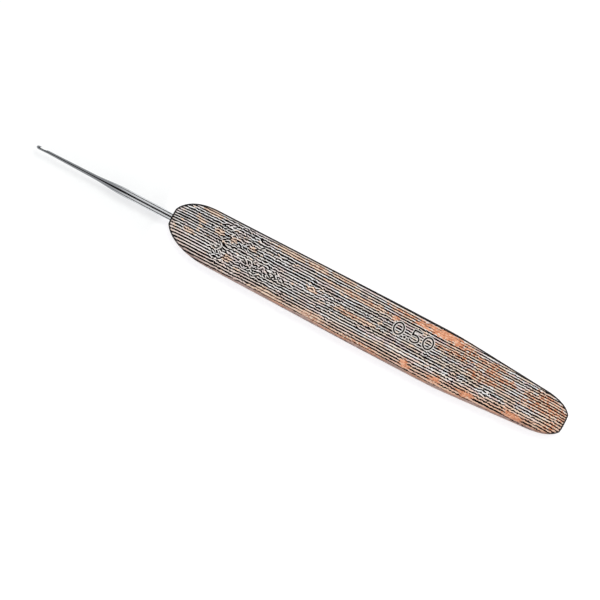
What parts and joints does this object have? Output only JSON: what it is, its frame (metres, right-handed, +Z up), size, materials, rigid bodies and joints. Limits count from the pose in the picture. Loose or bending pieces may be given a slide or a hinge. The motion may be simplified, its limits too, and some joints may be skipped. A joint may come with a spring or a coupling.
{
  "type": "crochet hook",
  "caption": "Dreadlock crochet hook: a fine steel hook with an undercut throat, its shank glued into a flat, rounded wooden handle that tapers to the butt.",
  "frame": {"origin": "under the middle of the whole tool, hook and handle together, on the surface that the handle's flat underside lies on", "axes": "+X along the tool, from the hook's tip towards the handle's butt; +Y across the flat of the handle, towards the side on which the hook's throat opens; +Z up, out of the handle's flat top"},
  "size_m": [0.1344, 0.0132, 0.008],
  "materials": {
    "wood": "open-grained hardwood, sanded smooth with a thin satin oil finish",
    "steel": "bright polished steel",
    "glue": "cured clear adhesive, slightly amber"
  },
  "bodies": {
    "root": {"handle": "wood", "crochet_hook": "steel", "glue_sleeve": "glue"}
  },
  "joints": []
}
